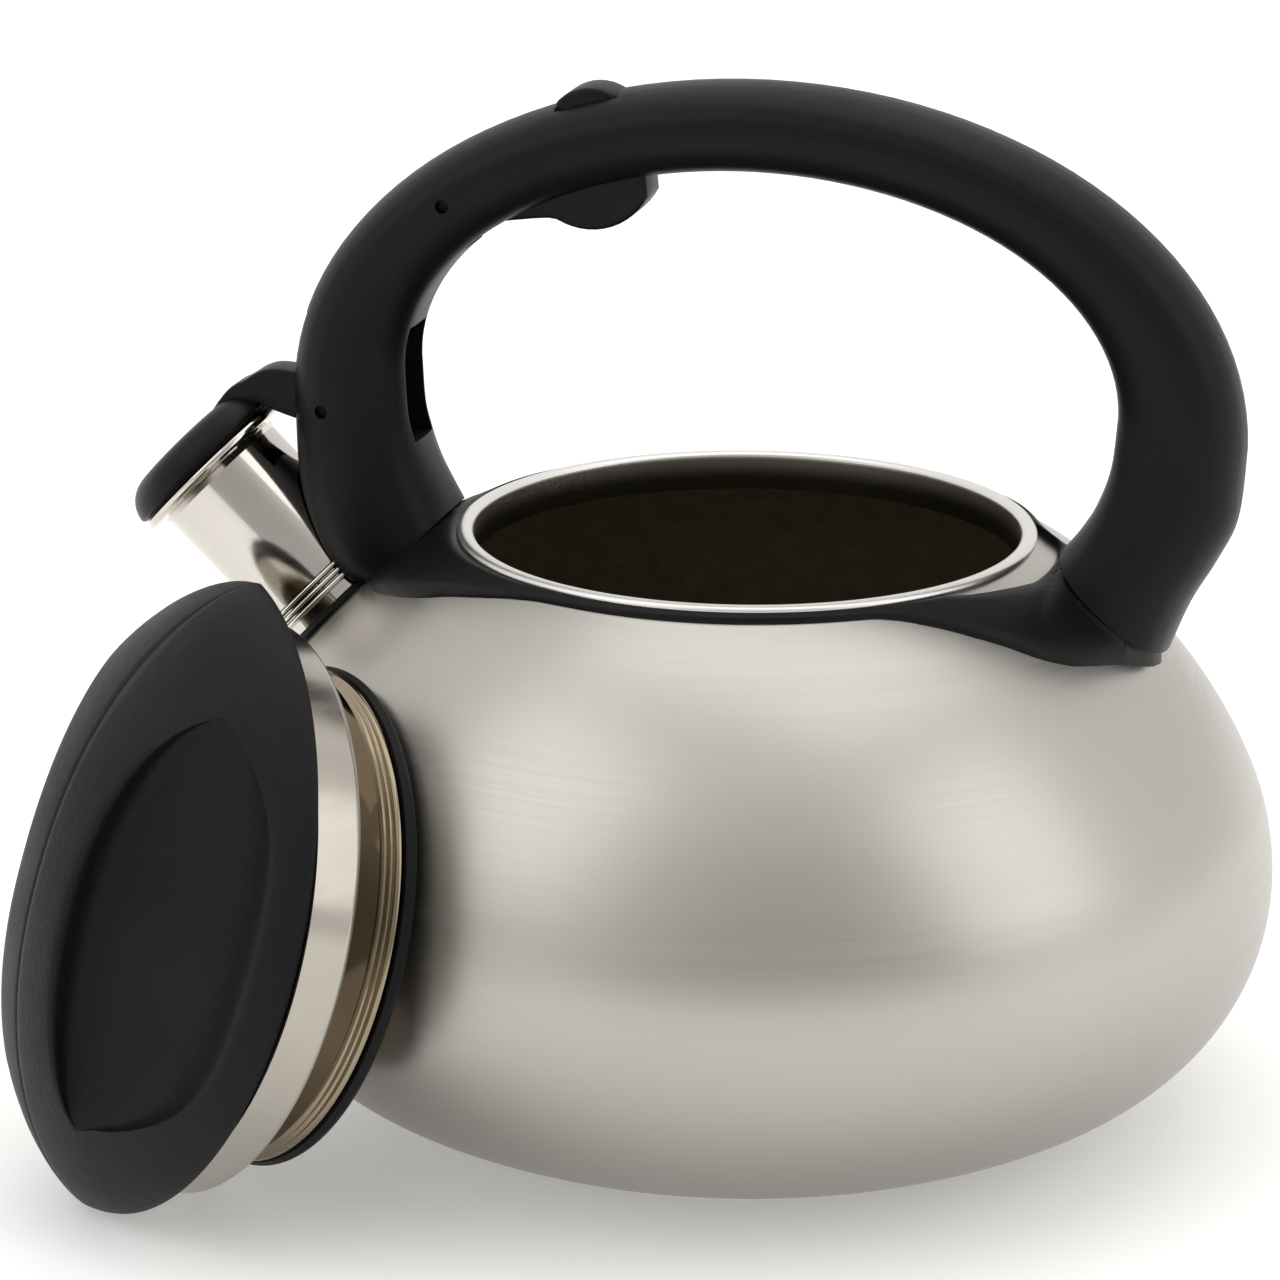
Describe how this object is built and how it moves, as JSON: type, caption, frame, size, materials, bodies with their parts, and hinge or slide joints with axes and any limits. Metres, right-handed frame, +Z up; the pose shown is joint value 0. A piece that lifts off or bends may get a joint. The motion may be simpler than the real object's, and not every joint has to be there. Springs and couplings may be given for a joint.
{
  "type": "stovetop whistling kettle",
  "caption": "Round steel stovetop kettle with an arched handle, a trigger that lifts the whistling spout cover, and a separate plug lid leaning on its side.",
  "frame": {"origin": "centre of the base's underside, where the kettle stands on the hob", "axes": "+Z up, spout towards -X, handle in the XZ plane, trigger and link seen from -Y, lid leaning on the -X -Y side"},
  "size_m": [0.2508, 0.245, 0.218],
  "materials": {
    "belly_steel": "fine circular satin brushing",
    "base_steel": "turned and heat-dulled",
    "core_aluminium": "plain rolled",
    "ring_steel": "bead-blasted satin",
    "polished_steel": "mirror polished",
    "lid_steel": "satin brushed round the rim",
    "plug_steel": "polished, heat-tinted",
    "handle_black": "fine-textured moulded nylon",
    "cover_black": "fine-textured moulded nylon",
    "lid_black": "fine-textured moulded nylon",
    "seal_black": "smooth silicone",
    "pin_steel": "drawn wire",
    "insert_brass": "turned and knurled"
  },
  "bodies": {
    "kettle": {"body_shell": "belly_steel", "base_core": "core_aluminium", "base_cap": "base_steel", "mouth_ring": "ring_steel", "spout_tube": "polished_steel", "spout_neck": "polished_steel", "spout_flange": "handle_black", "handle_bracket": "handle_black", "handle_grip": "handle_black", "foot_studs": "pin_steel", "handle_inserts": "insert_brass", "cover_pin": "pin_steel", "trigger_pin": "pin_steel", "return_spring": "pin_steel"},
    "cover": {"spout_cover": "cover_black", "whistle_cup": "polished_steel", "whistle_discs": "polished_steel", "cover_seal": "seal_black"},
    "trigger": {"trigger_lever": "cover_black"},
    "link": {"link_rod": "pin_steel"},
    "lid": {"lid_pan": "lid_steel", "lid_plug": "plug_steel", "lid_seal": "seal_black", "lid_grip": "lid_black", "lid_screws": "pin_steel", "lid_washers": "pin_steel"}
  },
  "joints": [
    {"name": "trigger_hinge", "type": "hinge", "parent": "kettle", "child": "trigger", "pos_m": [-0.0618, 0, 0.1908], "axis": [0, -1, 0], "range_deg": [0, 13], "stiffness_Nm_per_rad": 0.25, "springref_deg": -20.05, "deforming": ["return_spring"]},
    {"name": "cover_hinge", "type": "hinge", "parent": "kettle", "child": "cover", "pos_m": [-0.0885, 0, 0.1455], "axis": [0, 1, 0], "range_deg": [0, 38]},
    {"name": "link_hinge", "type": "hinge", "parent": "trigger", "child": "link", "pos_m": [-0.083, 0, 0.172], "axis": [0, 1, 0], "range_deg": [0, 25]},
    {"name": "lid_lift", "type": "slide", "parent": "kettle", "child": "lid", "axis": [-0.702, -0.6478, 0.2957], "range_m": [0, 0.12]}
  ],
  "couplings": [
    {"joint": "cover_hinge", "follows": "trigger_hinge", "ratio": 2.85},
    {"joint": "link_hinge", "follows": "trigger_hinge", "ratio": 1.85}
  ]
}
